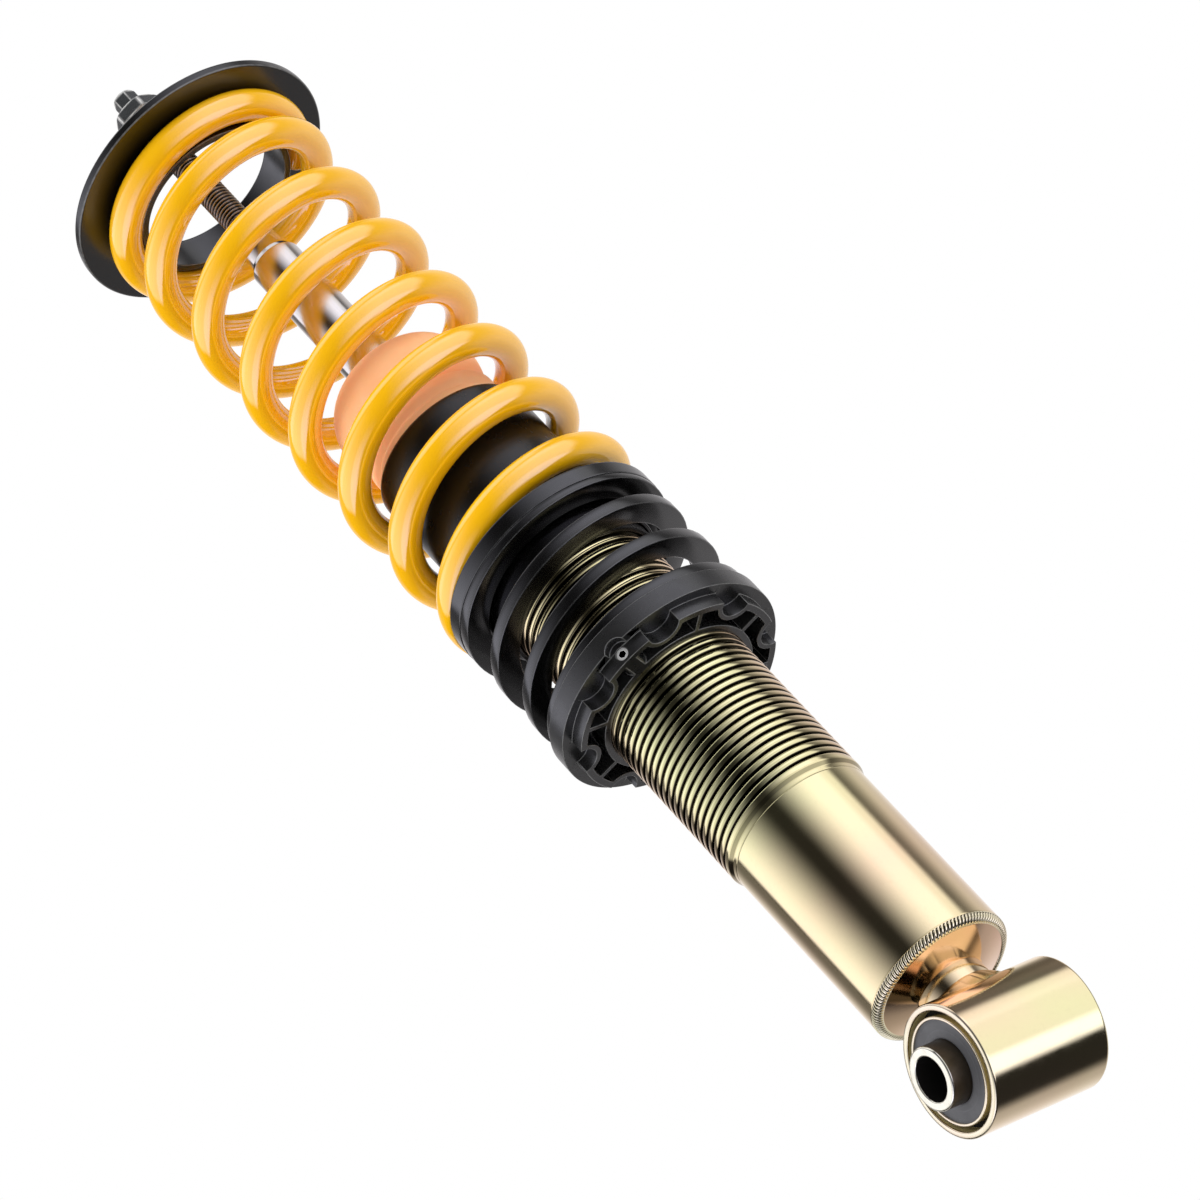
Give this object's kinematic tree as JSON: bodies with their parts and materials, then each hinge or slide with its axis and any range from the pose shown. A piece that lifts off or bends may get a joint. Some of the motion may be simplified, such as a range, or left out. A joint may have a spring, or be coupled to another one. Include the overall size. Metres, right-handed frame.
{
  "type": "coilover",
  "caption": "Threaded-body coilover damper with a rubber-bushed lower eye, adjusting collar, helper and main springs, upper perch and piston rod.",
  "frame": {"origin": "centre of the lower eye bush, where its bolt axis meets the damper axis", "axes": "+Z along the damper axis towards the rod's tip, +Y along the lower eye's bolt axis, +X completes a right-handed frame"},
  "size_m": [0.0962, 0.0962, 0.5093],
  "materials": {
    "zinc_steel": "yellow zinc plate, bright, faintly iridescent",
    "weld_metal": "rippled weld bead under yellow zinc plate",
    "bush_steel": "bright zinc plate",
    "bush_rubber": "matte dark grey rubber",
    "internal_steel": "machined",
    "internal_alloy": "die cast and machined",
    "bush_bronze": "sintered bearing lining",
    "band_polymer": "low-friction polymer",
    "sleeve_plastic": "satin black moulded plastic",
    "foam": "matte peach micro-cellular foam",
    "rod_chrome": "hard chrome, with a dark oxide thread at the top",
    "nut_steel": "black oxide with bright edges",
    "collar_plastic": "glass-filled black nylon",
    "screw_steel": "bright zinc plate",
    "black_steel": "satin black coat",
    "spring_coat": "glossy golden-yellow powder coat",
    "perch_black": "satin black coat"
  },
  "bodies": {
    "damper_body": {"eye_tube": "zinc_steel", "bush_outer_sleeve": "bush_steel", "bush_rubber": "bush_rubber", "eye_neck": "zinc_steel", "neck_welds": "weld_metal", "base_cap": "zinc_steel", "base_weld_bead": "weld_metal", "body_tube": "zinc_steel", "inner_cylinder": "internal_steel", "base_valve_body": "internal_alloy", "base_valve_shims": "internal_steel", "rod_guide": "internal_alloy", "guide_bush": "bush_bronze", "oil_seal": "bush_rubber", "head_nut": "internal_steel", "rod_wiper": "bush_rubber", "dust_sleeve": "sleeve_plastic"},
    "bush_core": {"bush_inner_sleeve": "bush_steel"},
    "piston_carriage": {"piston_band": "band_polymer"},
    "rod": {"piston_rod": "rod_chrome", "piston": "internal_alloy", "piston_shims": "internal_steel", "piston_nut": "internal_steel", "rebound_stop": "bush_rubber", "top_nut": "nut_steel"},
    "bump_stop_body": {"bump_stop": "foam"},
    "spring_carriage": {"helper_spring": "black_steel"},
    "collar": {"adjuster_collar": "collar_plastic", "set_screw": "screw_steel", "lock_pad": "band_polymer"},
    "adapter": {"helper_adapter": "black_steel", "main_spring": "spring_coat"},
    "perch": {"upper_perch": "perch_black"}
  },
  "joints": [
    {"name": "bush_twist", "type": "hinge", "parent": "damper_body", "child": "bush_core", "pos_m": [0, 0, 0], "axis": [0, 1, 0], "range_deg": [-15, 15], "stiffness_Nm_per_rad": 40},
    {"name": "rod_stroke", "type": "slide", "parent": "damper_body", "child": "piston_carriage", "axis": [0, 0, -1], "range_m": [0, 0.082], "stiffness_N_per_m": 400, "springref_m": -0.25},
    {"name": "rod_spin", "type": "hinge", "parent": "piston_carriage", "child": "rod", "pos_m": [0, 0, 0.3], "axis": [0, 0, 1], "continuous": true},
    {"name": "bump_stop_slide", "type": "slide", "parent": "damper_body", "child": "bump_stop_body", "axis": [0, 0, 1], "range_m": [0, 0.055]},
    {"name": "collar_travel", "type": "slide", "parent": "damper_body", "child": "spring_carriage", "axis": [0, 0, 1], "range_m": [-0.054, 0.027]},
    {"name": "collar_turn", "type": "hinge", "parent": "spring_carriage", "child": "collar", "pos_m": [0, 0, 0.17], "axis": [0, 0, 1], "range_deg": [-6483, 3243]},
    {"name": "helper_compression", "type": "slide", "parent": "spring_carriage", "child": "adapter", "axis": [0, 0, -1], "range_m": [0, 0.0217], "stiffness_N_per_m": 15000, "springref_m": -0.002, "deforming": ["helper_spring"]},
    {"name": "spring_compression", "type": "slide", "parent": "adapter", "child": "perch", "axis": [0, 0, -1], "range_m": [0, 0.06], "stiffness_N_per_m": 50000, "springref_m": -0.0006, "deforming": ["main_spring"]}
  ],
  "couplings": [
    {"joint": "collar_turn", "follows": "collar_travel", "rad_per_m": 2094.4},
    {"joint": "helper_compression", "follows": "spring_compression", "ratio": 0.36}
  ]
}
